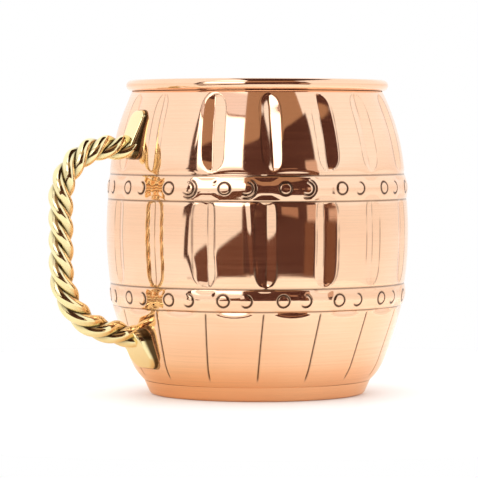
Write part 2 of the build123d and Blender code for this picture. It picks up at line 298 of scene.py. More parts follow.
# The dark floor to the left: azimuths, elevations, softness and tilt. A leaning edge cuts its left end off.
DARK_FLOOR = ((-56, -8), (-15, 3.5), 0.6, 0.32)
DARK_FLOOR_COLOUR = (0.12, 0.05, 0.03)
FLOOR_CUT = (-47.4, -46.2)
FLOOR_CUT_LEAN = 1.0
FLOOR_UNCUT = (-15.0, -14.0)  # elevations below which it isn't cut
# The brown wall behind the camera, the dark furniture against it, and the dark ceiling over them.
WALL = ((-11, 44), (-15, 60), 0.7)
WALL_COLOUR = (0.42, 0.255, 0.155)
CEILING_SIDES = (-0.135, 0.54)  # how far right for each step up, which is taken as CEILING_LEAST or more
CEILING_LEAST = 0.1
CEILING_SOFTNESS = 0.015
CEILING_EDGE = (53.0, 55.0)
CEILING_COLOUR = (0.03, 0.01, 0.005)
FURNITURE = ((-11, 47), (-15, 60), 1.0)
FURNITURE_TILT = 0.25
FURNITURE_TOP = (25.0, 27.0)
FURNITURE_COLOUR = (0.06, 0.022, 0.016)
# Lit patches on the furniture and right of it: azimuths, elevations, softness, tilt and colour.
PATCHES = [
    ((18, 31), (7.0, 10.6), 0.7, -0.1, (0.42, 0.24, 0.16)),
    ((38, 48), (2.5, 14), 0.8, 0.0, (0.7, 0.5, 0.4)),
    ((36, 44), (-15, 2.5), 0.8, 0.0, (0.16, 0.07, 0.035)),
]
SOFT_LIGHT = (1.6, 1.6, 1.6)  # what matt surfaces are lit by
BACKDROP = (1.0, 1.0, 1.0)


# Curves.

def circle_through(a, b, c):
    """The centre and radius of the circle through three points."""
    (ax, ay), (bx, by), (cx, cy) = a, b, c
    d = 2 * (ax * (by - cy) + bx * (cy - ay) + cx * (ay - by))
    a2, b2, c2 = ax * ax + ay * ay, bx * bx + by * by, cx * cx + cy * cy
    x = (a2 * (by - cy) + b2 * (cy - ay) + c2 * (ay - by)) / d
    y = (a2 * (cx - bx) + b2 * (ax - cx) + c2 * (bx - ax)) / d
    return np.array([x, y]), math.hypot(ax - x, ay - y)


def arc(a, b, c, step):
    """Points along the arc through a, b and c with their outward normals, about one step apart."""
    centre, radius = circle_through(a, b, c)
    angles = np.unwrap([math.atan2(p[1] - centre[1], p[0] - centre[0]) for p in (a, b, c)])
    count = max(2, int(radius * abs(angles[2] - angles[0]) / step) + 1)
    t = np.linspace(angles[0], angles[2], count)
    normals = np.stack([np.cos(t), np.sin(t)], 1)
    return centre + radius * normals, normals


def line(a, b, step):
    """Points along a line with the normals on its right, which is outwards on the way up."""
    a, b = np.array(a, float), np.array(b, float)
    length = np.linalg.norm(b - a)
    count = max(2, int(length / step) + 1)
    points = a + (b - a) * np.linspace(0, 1, count)[:, None]
    normal = np.array([b[1] - a[1], a[0] - b[0]]) / length
    return points, np.tile(normal, (count, 1))


def bead_arc(radius, start, end, step, sign):
    """Points round the rim bead's centre. The normals point away from it, or towards it for sign -1."""
    t = np.radians(np.linspace(start, end, max(3, int(radius * abs(math.radians(end - start)) / step))))
    normals = np.stack([np.cos(t), np.sin(t)], 1)
    return np.array(BEAD_CENTRE) + radius * normals, sign * normals


def toe_arc():
    """The centre and radius of the toe's arc, which runs on from the lower staves to the seam."""
    lean = math.radians(TOE_LEAN)
    normal = np.array([math.cos(lean), -math.sin(lean)])
    chord = np.array(SEAM) - np.array(TOE_TOP)
    radius = chord @ chord / (-2 * chord @ normal)
    return np.array(TOE_TOP) - radius * normal, radius


def smooth_step(x):
    """0 below 0, 1 above 1, and smooth between."""
    x = np.clip(x, 0, 1)
    return x * x * (3 - 2 * x)


def soft_positive(x, width):
    """x where it is above 0, else 0, rounded over about a width."""
    return (x + np.sqrt(x * x + width * width)) / 2


# The pressed pattern, as height above the plain barrel. Angles and heights are arrays of one shape.

def stave_angle(angle):
    """The signed angle from the nearest groove, and which groove that is."""
    step = 360 / STAVES
    turn = (angle - STAVE_OFFSET) / step
    nearest = np.floor(turn + 0.5)
    return (turn - nearest) * step, nearest.astype(int) % STAVES


def middle_angle(angle, turn):
    """The signed angle from the nearest stave's middle, for a pattern turned a little about the axis."""
    step = 360 / STAVES
    return (angle - turn - STAVE_OFFSET) % step - step / 2


def groove(angle, height, radius, ends, plain, named, lean, roundness, lipped=None):
    """V-shaped channels with a crease down the middle of each and run-out ends.

    Gives their height, and how close each point is to a crease or an edge, from 0 to 1.
    """
    shapes = np.array([named.get(k, plain) for k in range(STAVES)])
    from_plain, index = stave_angle(angle)
    turn, left, right, depth = np.moveaxis(shapes[index], -1, 0)
    middle, half = sum(ends) / 2, (ends[1] - ends[0]) / 2
    across = np.radians(from_plain - turn - lean * (height - middle)) * radius
    along = np.abs((height - middle) / half)
    fade = np.clip(1 - along**roundness, 0, 1) ** GROOVE_END_POWER
    slope = depth / np.where(across < 0, left, right)
    valley = depth * fade - slope * np.sqrt(across**2 + GROOVE_CREASE**2)
    edge = GROOVE_EDGE * fade * np.where(index == FACING, FACING_SOFTER, 1)
    crease = fade * -engraved(across, CREASE_MARK_HALF, 1)
    rim = -engraved(valley, EDGE_MARK_DEPTH, 1) * np.clip(2 * fade, 0, 1)
    marks = np.maximum(crease, EDGE_MARK * rim)
    lip_at = -left - LIP_OUT + LIP_LEAN * (height - middle)
    lip = np.where(index == lipped, LIP_RISE * fade * -engraved(across - lip_at, LIP_HALF, 1), 0)
    return lip - np.where(along < 1, soft_positive(valley, edge + 1e-5), 0), np.where(along < 1, marks, 0)


def upper_grooves(angle, height, radius):
    return groove(
        angle, height, radius, UPPER_GROOVE, PLAIN_UPPER, UPPER_GROOVES, UPPER_LEAN, UPPER_ROUNDNESS
    )


def middle_grooves(angle, height, radius):
    return groove(
        angle, height, radius, MIDDLE_GROOVE, PLAIN_MIDDLE, MIDDLE_GROOVES, 0.0, MIDDLE_ROUNDNESS, LIPPED
    )


def stave_line(angle, height, radius):
    """The thin line between two lower staves, from 0 to 1."""
    turn = LINE_LEAN * (height - LINE_ENDS[1])
    across = np.radians(stave_angle(angle - turn)[0]) * radius
    foot, top = LINE_ENDS
    foot_fade, top_fade = LINE_FADES
    ends = smooth_step((height - foot) / foot_fade) * smooth_step((top - height) / top_fade)
    return -ends * engraved(across, LINE_HALF, 1)


def engraved(distance, half, depth):
    """A fine pressed line."""
    return -depth * np.exp(-((distance / half) ** 2))


def hoop_lines(height):
    """The line pressed along every hoop edge."""
    return sum(engraved(height - z, EDGE_LINE_HALF, EDGE_LINE_DEPTH) for z in LOWER_HOOP + UPPER_HOOP)


def echoed(angle, edges):
    """1 where a hoop's open rings have a second arc: three staves of the upper one."""
    first, last = ECHO_SPAN
    return ((angle - first) % 360 < last - first) * float(edges == UPPER_HOOP)


def ring_mark(across, up, double):
    """The ring marks, as a share of their depth: each pair has a whole ring, then an open one, which is a
    whole ring's shaded side only, as painted shade in its depth and its dark colour.
    """
    to_ring = np.hypot(np.abs(across) - RING_OFFSET, up)
    side = (across - RING_OFFSET) / RING_RADIUS
    at_middle, rightwards, upwards = OPEN_SIDE
    open_part = smooth_step(at_middle + rightwards * side + upwards * up / RING_RADIUS)
    strength = np.where(across > 0, open_part * OPEN_RING, WHOLE_RING)
    mark = strength * -engraved(to_ring - RING_RADIUS, RING_LINE_HALF, 1)
    echo = np.where(across > 0, open_part**2, 0) * -engraved(to_ring - RING_ECHO, RING_LINE_HALF, 1)
    return np.maximum(mark, ECHO_RING * echo * double)


def crowned(distance, half):
    """A round-topped cross-section, 1 in its middle and 0 at its half-width."""
    return np.clip(1 - (distance / half) ** 2, 0, 1) ** CROWN_POWER


def hoop(angle, height, edges, turn, radius):
    """The strap and its ring marks."""
    up = height - sum(edges) / 2
    across = np.radians(middle_angle(angle, turn)) * radius
    narrow, narrowest = PAD_ENDS
    pad = smooth_step((narrowest - np.abs(across)) / (narrowest - narrow))
    rise = STRAP_RISE + (PAD_RISE - STRAP_RISE) * pad
    half = STRAP_HALF + (PAD_HALF - STRAP_HALF) * pad
    mark = ring_mark(across, up, echoed(angle, edges))
    dome = np.clip(1 - (np.hypot(np.abs(across) - RING_OFFSET, up) / RING_RADIUS) ** 2, 0, 1)
    return rise * crowned(up, half) - RING_DEPTH * mark + RING_DOME * dome


def shoulder(angle, height, radius, edge, side, shape):
    """The round end of each stave against a hoop's edge, deepest at the stave's middle."""
    length, drop, half = shape
    shortest, added = SHOULDER_LENGTHS
    across = np.radians(middle_angle(angle, 0)) * radius
    lens = np.clip(1 - (across / half) ** 2, SHOULDER_LEAST, 1)
    near = np.clip(1 - side * (height - edge) / (length * (shortest + added * lens)), 0, 1)
    return np.where(side * (height - edge) < 0, 0, -drop * lens * near**2)


def relief(angle, height, radius, fine=True):
    """The whole pressed pattern at points of the barrel."""
    upper = height > UPPER_HOOP[1]
    middle = (height > LOWER_HOOP[1]) & (height < UPPER_HOOP[0])
    lower = height < LOWER_HOOP[0]
    out = np.where(upper, upper_grooves(angle, height, radius)[0], 0)
    out += np.where(upper, shoulder(angle, height, radius, UPPER_HOOP[1], 1, UPPER_SHOULDER), 0)
    out += np.where(middle, middle_grooves(angle, height, radius)[0], 0)
    out += np.where(middle, shoulder(angle, height, radius, UPPER_HOOP[0], -1, MIDDLE_SHOULDER), 0)
    out += np.where(lower, shoulder(angle, height, radius, LOWER_HOOP[0], -1, LOWER_SHOULDER), 0)
    for edges, turn in zip((LOWER_HOOP, UPPER_HOOP), HOOP_TURNS):
        on_hoop = (height >= edges[0]) & (height <= edges[1])
        out += np.where(on_hoop, hoop(angle, height, edges, turn, radius), 0)
    if fine:
        out += hoop_lines(height)
        out -= np.where(lower, LINE_DEPTH * stave_line(angle, height, radius), 0)
    return out


# Meshes.

def new_object(name, points, faces, material, layers=None):
    """A smooth mesh object from points in millimetres. layers are float attributes on its points."""
    mesh = bpy.data.meshes.new(name)
    mesh.from_pydata((np.asarray(points) * MM).tolist(), [], faces)
    mesh.validate()
    mesh.shade_smooth()
    mesh.set_sharp_from_angle(angle=math.radians(SHARP_ANGLE))
    for key, values in (layers or {}).items():
        layer = mesh.attributes.new(key, "FLOAT", "POINT")
        layer.data.foreach_set("value", np.asarray(values, np.float32))
    mesh.materials.append(material)
    obj = bpy.data.objects.new(name, mesh)
    bpy.context.scene.collection.objects.link(obj)
    return obj


def around(angle):
    """Cosine and sine in the mug's frame of an angle from the handle."""
    t = np.radians(180 + angle)
    return np.cos(t), np.sin(t)


def ring_faces(rows, columns, first=0):
    """Quads between rows of points that each go right round."""
    r = np.arange(rows - 1)[:, None] * columns
    c = np.arange(columns)[None, :]
    n = (c + 1) % columns
    quads = np.stack([r + c, r + n, r + columns + n, r + columns + c], -1) + first
    return quads.reshape(-1, 4).tolist()


def stave_columns():
    """The angles of the mesh's columns, closer together across the ring marks."""
    half = 180 / STAVES
    stops = (0, *RING_MARK_ENDS, half)
    side = np.concatenate([
        np.linspace(start, end, count, endpoint=False)
        for start, end, count in zip(stops, stops[1:], STAVE_COLUMNS)
    ])
    one = np.unique(np.round(np.concatenate([-side, side, [-half]]), 6))
    middles = STAVE_OFFSET + half + np.arange(STAVES) * 2 * half
    return (middles[:, None] + one[None, :]).ravel()


def outer_profile():
    """Rows of the shell's outer surface from the seam to the roll: points and normals."""
    centre, radius = toe_arc()
    toe_middle = centre + radius * unit((np.array(SEAM) + TOE_TOP) / 2 - centre)
    neck = bead_arc(BEAD_RADIUS - SHEET, BEAD_START, BEAD_END, 1, 1)[0][0]
    low = list(zip(LOWER_HOOP_RADII, LOWER_HOOP))
    high = list(zip(UPPER_HOOP_RADII, UPPER_HOOP))
    runs = [
        arc(SEAM, toe_middle, TOE_TOP, TOE_STEP),
        arc(TOE_TOP, LOWER_STAVE, low[0], STAVE_STEP),
        line(low[0], low[1], HOOP_STEP),
        arc(low[1], BELLY, high[0], BELLY_STEP),
        line(high[0], high[1], HOOP_STEP),
        arc(high[1], SHOULDER, tuple(neck), STAVE_STEP),
    ]
    points = np.concatenate([p[:-1] for p, n in runs] + [runs[-1][0][-1:]])
    normals = np.concatenate([n[:-1] for p, n in runs] + [runs[-1][1][-1:]])
    return points, normals


def unit(v):
    return v / np.linalg.norm(v)


def swept(points, normals, angles, rise):
    """Rows of points in space from a profile moved out along its normals by rise[row, column]."""
    cos, sin = around(angles)
    radius = points[:, :1] + normals[:, :1] * rise
    height = points[:, 1:] + normals[:, 1:] * rise
    return np.stack([radius * cos, radius * sin, height], -1)


def inner_profile():
    """Rows of the roll's outer face, then of the shell's inside with the outside's points over them.

    Both run on from the roll's edge down to the seam.
    """
    bead_points, bead_normals = bead_arc(BEAD_RADIUS, BEAD_END, BEAD_START, BEAD_STEP, 1)
    points, normals = outer_profile()
    keep = slice(None, None, INSIDE_SHARE)
    inside = (points - normals * SHEET)[::-1][keep]
    return bead_points, bead_normals, inside, normals[::-1][keep], points[::-1][keep]


def barrel_shell(material):
    """The pressed copper sheet with its rolled rim, as one closed mesh.

    The outside has fine columns. The roll and the inside have every fourth of them, and the two join
    inside the roll and at the seam, where neither join can be seen.
    """
    fine = stave_columns()
    coarse = fine[::INSIDE_SHARE]
    points, normals = outer_profile()
    grid_angle = fine[None, :]
    height = points[:, 1:]
    rise = relief(grid_angle, height, points[:, :1])
    outer = swept(points, normals, fine, rise)
    marks = pressed_lines(grid_angle, height, points[:, :1])
    edges = groove_marks(grid_angle, height, points[:, :1])

    hidden, hidden_normals = bead_arc(BEAD_RADIUS - SHEET, HIDDEN_START, BEAD_END, HIDDEN_STEP, -1)
    bead, bead_normals, inside, inside_normals, inside_over = inner_profile()
    inside_rise = relief(coarse[None, :], inside_over[:, 1:], inside_over[:, :1], fine=False)
    flat = np.zeros((1, len(coarse)))
    parts = [
        swept(hidden, hidden_normals, coarse, np.repeat(flat, len(hidden), 0)),
        swept(bead[:-1], bead_normals[:-1], coarse, np.repeat(flat, len(bead) - 1, 0)),
        swept(inside, inside_normals, coarse, inside_rise),
    ]
    inner = np.concatenate(parts)
    n, m = len(fine), len(coarse)
    first = outer.shape[0] * n
    faces = ring_faces(outer.shape[0], n) + ring_faces(inner.shape[0], m, first)
    top = first - n
    last = first + (inner.shape[0] - 1) * m
    for k in range(m):
        j = (k + 1) % m
        fine_run = [(k * INSIDE_SHARE + i) % n for i in range(INSIDE_SHARE + 1)]
        faces.append([top + i for i in fine_run] + [first + j, first + k])
        faces.append([last + k, last + j] + fine_run[::-1])
    everything = np.concatenate([outer.reshape(-1, 3), inner.reshape(-1, 3)])
    plain = np.zeros(inner.shape[0] * m)
    layers = {
        "pressed": np.concatenate([marks.ravel(), plain]),
        "edges": np.concatenate([edges.ravel(), plain]),
    }
    obj = new_object("copper_shell", everything, faces, material, layers)
    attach(obj, "root")
    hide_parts("barrel_shell")


def pressed_lines(angle, height, radius):
    """How deep in a fine pressed line each point is, from 0 to 1: where the copper is darkened."""
    marks = -hoop_lines(height) / EDGE_LINE_DEPTH * EDGE_LINE_FILL + 0 * angle
    for edges, turn in zip((LOWER_HOOP, UPPER_HOOP), HOOP_TURNS):
        up = height - sum(edges) / 2
        across = np.radians(middle_angle(angle, turn)) * radius
        marks = np.maximum(marks, RING_FILL * ring_mark(across, up, echoed(angle, edges)))
    stave_lines = STAVE_LINE_FILL * stave_line(angle, height, radius)
    return np.minimum(np.maximum(marks, np.where(height < LINE_ENDS[1], stave_lines, 0)), 1)


def groove_marks(angle, height, radius):
    """How close each point is to a groove's crease or its edges, from 0 to 1: where the copper gets painted
    shade.
    """
    marks = np.where(height > UPPER_HOOP[1], upper_grooves(angle, height, radius)[1], 0)
    middle = (height > LOWER_HOOP[1]) & (height < UPPER_HOOP[0])
    return GROOVE_MARK * (marks + np.where(middle, middle_grooves(angle, height, radius)[1], 0))


def base_pan(material):
    """The soldered bottom: floor, stiffening ring, foot and the flange inside the shell."""
    centre, radius = toe_arc()

    def toe(depth, angle):
        t = math.radians(angle)
        return centre + (radius - depth) * np.array([math.cos(t), -math.sin(t)])

    ring_in, ring_out, ring_rise = PAN_RING
    ring_middle = (ring_in + ring_out) / 2
    outside, inside = SHEET + PAN_GAP, SHEET + PAN_GAP + PAN_SHEET
    outer_foot, outer_middle, outer_top = (toe(outside, angle) for angle in PAN_FLANGE)
    inner_foot, inner_middle, inner_top = (toe(inside, angle) for angle in PAN_FLANGE)
    slope = math.atan2(FOOT_TOP[0] - FOOT_CORNER[0], FOOT_TOP[1] - FOOT_CORNER[1])
    low = np.array(FOOT_CORNER) + PAN_SHEET * np.array([-math.cos(slope), math.sin(slope)])
    joggle = low + PAN_JOGGLE * np.array([math.sin(slope), math.cos(slope)])
    inner_corner = (FOOT_RADIUS - PAN_INNER_CORNER, PAN_SHEET)
    rise = FOOT_CORNER[1]
    run = FOOT_CORNER[0] - FOOT_RADIUS
    corner_radius = (run * run + rise * rise) / (2 * rise)
    half_turn = math.atan2(rise, run)
    corner = (FOOT_RADIUS + corner_radius * math.sin(half_turn), corner_radius * (1 - math.cos(half_turn)))
    # Each line's and arc's last value is the spacing of its points.
    pieces = [
        line((0.0, 0.0), (ring_in, 0.0), 4),
        arc((ring_in, 0.0), (ring_middle, ring_rise), (ring_out, 0.0), 0.3),
        line((ring_out, 0.0), (FOOT_RADIUS, 0.0), 1.5),
        arc((FOOT_RADIUS, 0.0), corner, FOOT_CORNER, 0.12),
        line(FOOT_CORNER, FOOT_TOP, 0.3),
        line(FOOT_TOP, outer_foot, 0.3),
        arc(outer_foot, outer_middle, outer_top, 0.5),
        line(outer_top, inner_top, 0.3),
        arc(inner_top, inner_middle, inner_foot, 0.5),
        line(inner_foot, joggle, 0.5),
        line(joggle, low, 0.5),
        line(low, inner_corner, 0.3),
        line(inner_corner, (ring_out, PAN_SHEET), 1.0),
        arc((ring_out, PAN_SHEET), (ring_middle, PAN_SHEET + ring_rise), (ring_in, PAN_SHEET), 0.3),
        line((ring_in, PAN_SHEET), (0.0, PAN_SHEET), 4),
    ]
    profile = np.concatenate([p[:-1] for p, n in pieces])[1:]
    columns = PAN_COLUMNS
    angles = np.arange(columns) * 360 / columns
    cos, sin = around(angles)
    rows = np.stack([profile[:, :1] * cos, profile[:, :1] * sin, profile[:, 1:] + 0 * cos], -1)
    points = np.concatenate([rows.reshape(-1, 3), [[0, 0, 0], [0, 0, PAN_SHEET]]])
    faces = ring_faces(len(profile), columns)
    bottom, top = len(points) - 2, len(points) - 1
    last = (len(profile) - 1) * columns
    for k in range(columns):
        j = (k + 1) % columns
        faces.append([bottom, j, k])
        faces.append([top, last + k, last + j])
    obj = new_object("copper_base", points, faces, material)
    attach(obj, "root")
    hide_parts("base_pan")


# The handle.

def rope_path(step):
    """The rope's centreline as (x, z) points and its tangents, with round bends at the corners."""
    corners = [np.array(p) for p in ROPE_CORNERS]
    points = [corners[0]]
    for before, corner, after, bend in zip(corners, corners[1:], corners[2:], ROPE_BENDS):
        a, b = unit(before - corner), unit(after - corner)
        half = math.acos(np.clip(a @ b, -1, 1)) / 2
        start, end = corner + a * bend / math.tan(half), corner + b * bend / math.tan(half)
        middle = corner + unit(a + b) * (bend / math.sin(half) - bend)
        points += list(line(points[-1], start, step)[0][1:])
        points += list(arc(start, middle, end, step)[0][1:])
    points += list(line(points[-1], corners[-1], step)[0][1:])
    points = np.array(points)
    tangents = np.gradient(points, axis=0)
    return points, tangents / np.linalg.norm(tangents, axis=1)[:, None]


def twist(distance, length):
    """How far the strands have turned, in degrees, as their pitch grows evenly along the rope."""
    growth = (PITCH_END - PITCH_START) / length
    return TWIST_START - 360 * np.log(1 + growth * distance / PITCH_START) / growth


def strand_radius(turn):
    """The rope's outline: how far out its surface is, at an angle from its first crease."""
    step = 360 / STRANDS
    lobe = np.radians(turn % step - step / 2)
    return STRAND_OFFSET * np.cos(lobe) + np.sqrt(STRAND_RADIUS**2 - (STRAND_OFFSET * np.sin(lobe)) ** 2)


def rope(material):
    """The twisted rope of the cast handle."""
    points, tangents = rope_path(ROPE_STEP)
    distance = np.concatenate([[0], np.cumsum(np.linalg.norm(np.diff(points, axis=0), axis=1))])
    columns = ROPE_COLUMNS
    across = np.arange(columns) * 360 / columns
    start = twist(distance, distance[-1])[:, None]
    # Columns follow the strands, so that the creases stay sharp.
    angle = np.radians(start + across[None, :])
    radius = strand_radius(across)[None, :] + 0 * start
    centre = np.stack([points[:, 0], 0 * distance, points[:, 1]], -1)
    side = np.array([0.0, 1.0, 0.0])
    along = np.stack([tangents[:, 0], 0 * distance, tangents[:, 1]], -1)
    up = np.cross(along, side)
    offset = np.cos(angle)[..., None] * side + np.sin(angle)[..., None] * up[:, None, :]
    rows = centre[:, None, :] + radius[..., None] * offset
    faces = [f[::-1] for f in ring_faces(len(rows), columns)]
    faces.append(list(range(columns)))
    faces.append([(len(rows) - 1) * columns + k for k in range(columns)][::-1])
    # Painted shade between the strands, darkest in the creases.
    depth = (radius.max() - radius) / (radius.max() - radius.min())
    layers = {"pressed": depth.ravel() ** STRAND_SHADE_POWER}
    obj = new_object("handle_rope", rows.reshape(-1, 3), faces, material, layers)
    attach(obj, "root")
    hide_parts("rope_handle")


def rounded_outline(half_width, low, high, corner):
    """Points round a rectangle with round corners, anticlockwise, and their outward normals."""
    count = TAB_CORNER_POINTS
    middles = [(half_width - corner, high - corner), (corner - half_width, high - corner),
               (corner - half_width, low + corner), (half_width - corner, low + corner)]
    turns = np.radians(np.concatenate([np.linspace(90 * k, 90 * k + 90, count) for k in range(4)]))
    normals = np.stack([np.cos(turns), np.sin(turns)], 1)
    return np.repeat(middles, count, 0) + corner * normals, normals


def barrel_radius(height):
    """The plain barrel's outer radius at each height."""
    points, _ = outer_profile()
    return np.interp(height, points[:, 1], points[:, 0])


def tab(name, heights, front, width, corner, material):
    """A wedge-shaped tab with drafted sides and a rounded edge, whose back follows the barrel. Its back and
    the sides near the barrel carry painted shade.
    """
    radii, levels = np.array(front).T

    def face_radius(z):
        spread = np.linspace(-TAB_SMOOTHING, TAB_SMOOTHING, 7)
        return sum(np.interp(z + s, levels, radii) for s in spread) / len(spread)

    def back_radius(y, z):
        return np.sqrt(np.maximum((barrel_radius(z) + TAB_GAP / 2) ** 2 - y**2, 0))

    middle = np.array([0, sum(heights) / 2])
    outline, normals = rounded_outline(width / 2, *heights, corner)
    back = back_radius(*outline.T)
    thickness = face_radius(outline[:, 1]) - back
    rounding = np.minimum(TAB_BEVEL, (1 - TAB_THINNEST) * thickness)
    draft = TAB_DRAFT * (thickness - rounding)
    rows = []
    # Painted shade: full on the back against the barrel, fading out up the sides, none on the edge and
    # front.
    side_shade = []
    for s in TAB_BACK_RINGS:
        y, z = (middle + (outline - middle) * s).T
        rows.append(np.stack([-back_radius(y, z), y, z], 1))
        side_shade.append(1.0)
    for t in np.linspace(0, 1, TAB_ROWS)[1:]:
        y, z = (outline - normals * (draft * t)[:, None]).T
        rows.append(np.stack([-back - (face_radius(z) - rounding - back) * t, y, z], 1))
        side_shade.append(float(smooth_step((TAB_SHADE_REACH - t) / TAB_SHADE_FADE)))
    for t in np.linspace(0, math.pi / 2, TAB_ROWS)[1:]:
        edge = outline - normals * (draft + TAB_BEVEL * (1 - math.cos(t)))[:, None]
        y, z = edge.T
        rows.append(np.stack([-face_radius(z) + rounding * (1 - math.sin(t)), y, z], 1))
    for s in TAB_FRONT_RINGS:
        y, z = (middle + (edge - middle) * s).T
        rows.append(np.stack([-face_radius(z), y, z], 1))
    columns = len(rows[0])
    faces = ring_faces(len(rows), columns)
    faces.append(list(range(columns))[::-1])
    faces.append([(len(rows) - 1) * columns + k for k in range(columns)])
    side_shade += [0.0] * (len(rows) - len(side_shade))
    layers = {"pressed": np.repeat(side_shade, columns)}
    obj = new_object(name, np.concatenate(rows), [f[::-1] for f in faces], material, layers)
    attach(obj, "root")
    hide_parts("rope_handle")


# Materials.

class Nodes:
    """Short ways to add nodes to a node tree."""

    def __init__(self, tree):
        self.tree = tree
        tree.nodes.clear()

    def add(self, kind, **settings):
        node = self.tree.nodes.new(kind)
        for key, value in settings.items():
            setattr(node, key, value)
        return node

    def link(self, source, target):
        self.tree.links.new(source, target)

    def put(self, value, socket):
        """Links a socket's output, or sets a plain value."""
        if isinstance(value, bpy.types.NodeSocket):
            self.link(value, socket)
        else:
            socket.default_value = value

    def put_colour(self, value, socket):
        """Links a socket's output, or sets a colour of three numbers."""
        self.put(value + (1.0,) if isinstance(value, tuple) else value, socket)

    def math(self, operation, *values, clamp=False):
        node = self.add("ShaderNodeMath", operation=operation, use_clamp=clamp)
        for value, socket in zip(values, node.inputs):
            self.put(value, socket)
        return node.outputs[0]

    def mix(self, factor, a, b):
        """A blend from colour a to colour b. The numbers are a colour mix's own sockets."""
        node = self.add("ShaderNodeMix", data_type="RGBA")
        self.put(factor, node.inputs[0])
        self.put_colour(a, node.inputs[6])
        self.put_colour(b, node.inputs[7])
        return node.outputs[2]

    def remap(self, value, low, high, to_low=0.0, to_high=1.0, smooth=False):
        kind = "SMOOTHSTEP" if smooth else "LINEAR"
        node = self.add("ShaderNodeMapRange", interpolation_type=kind, clamp=True)
        for v, socket in zip((value, low, high, to_low, to_high), node.inputs):
            self.put(v, socket)
        return node.outputs[0]

    def noise(self, vector, scale, detail=3.0, roughness=0.5):
        node = self.add("ShaderNodeTexNoise")
        self.put(vector, node.inputs["Vector"])
        node.inputs["Scale"].default_value = scale
        node.inputs["Detail"].default_value = detail
        node.inputs["Roughness"].default_value = roughness
        return node.outputs["Fac"]

    def stretched(self, vector, scale):
        node = self.add("ShaderNodeVectorMath", operation="MULTIPLY")
        self.link(vector, node.inputs[0])
        node.inputs[1].default_value = scale
        return node.outputs[0]


def metal(name, colour, deep, painted_shade_and_lines, roughness, brush, brush_height, dents_height, haze):
    """A polished metal: colour variation, fine brush marks, faint unevenness, dark pressed lines and painted
    shade in creases and by the barrel.
    """
    material = bpy.data.materials.new(name)
    material.use_nodes = True
    n = Nodes(material.node_tree)
    place = n.add("ShaderNodeTexCoord").outputs["Object"]
    cloud = n.noise(place, *CLOUD_NOISE)
    marks = n.noise(n.stretched(place, brush), *BRUSH_NOISE)
    speck = n.noise(place, *SPECK_NOISE)
    pressed = n.add("ShaderNodeAttribute", attribute_name="pressed").outputs["Fac"]
    edges = n.add("ShaderNodeAttribute", attribute_name="edges").outputs["Fac"]
    # Painted shade along the grooves' creases and edges, in patches.
    patchy = n.remap(n.noise(place, *SHADE_PATCH_NOISE), *SHADE_PATCHES, smooth=True)
    pressed = n.math("MAXIMUM", pressed, n.math("MULTIPLY", edges, patchy))
    base = n.mix(n.remap(cloud, *CLOUD_TINT), colour, deep)
    # The painted shade and the darkened pressed lines turn the colour dark.
    base = n.mix(n.math("MULTIPLY", pressed, SHADE_AND_LINES_COVER), base, painted_shade_and_lines)
    rough = n.remap(marks, *BRUSH_DULLING, *roughness)
    rough = n.math("ADD", rough, n.remap(cloud, *CLOUD_DULLING, 0.0, roughness[0]))
    rough = n.math("ADD", rough, n.math("MULTIPLY", pressed, SHADE_AND_LINES_DULLING), clamp=True)
    height = n.math("MULTIPLY", marks, brush_height)
    height = n.math("ADD", height, n.math("MULTIPLY", n.noise(place, *DENT_NOISE), dents_height))
    height = n.math("ADD", height, n.math("MULTIPLY", speck, brush_height * SPECK_SHARE))
    bump = n.add("ShaderNodeBump")
    bump.inputs["Strength"].default_value = 1.0
    bump.inputs["Distance"].default_value = 1.0
    n.link(height, bump.inputs["Height"])
    shader = n.add("ShaderNodeBsdfPrincipled")
    shader.inputs["Metallic"].default_value = 1.0
    n.link(base, shader.inputs["Base Color"])
    n.link(rough, shader.inputs["Roughness"])
    n.link(bump.outputs[0], shader.inputs["Normal"])
    share, haze_colour = haze
    scattered = n.add("ShaderNodeBsdfPrincipled")
    scattered.inputs["Metallic"].default_value = 1.0
    scattered.inputs["Roughness"].default_value = HAZE_ROUGHNESS
    n.link(n.mix(pressed, haze_colour, painted_shade_and_lines), scattered.inputs["Base Color"])
    blend = n.add("ShaderNodeMixShader")
    streaks = n.noise(n.stretched(place, tuple(size * STREAK_SCALE for size in brush)), *STREAK_NOISE)
    least, most = STREAK_HAZE
    n.link(n.remap(streaks, *STREAKS, share * least, share * most), blend.inputs[0])
    n.link(shader.outputs[0], blend.inputs[1])
    n.link(scattered.outputs[0], blend.inputs[2])
    n.link(blend.outputs[0], n.add("ShaderNodeOutputMaterial").inputs["Surface"])
    return material


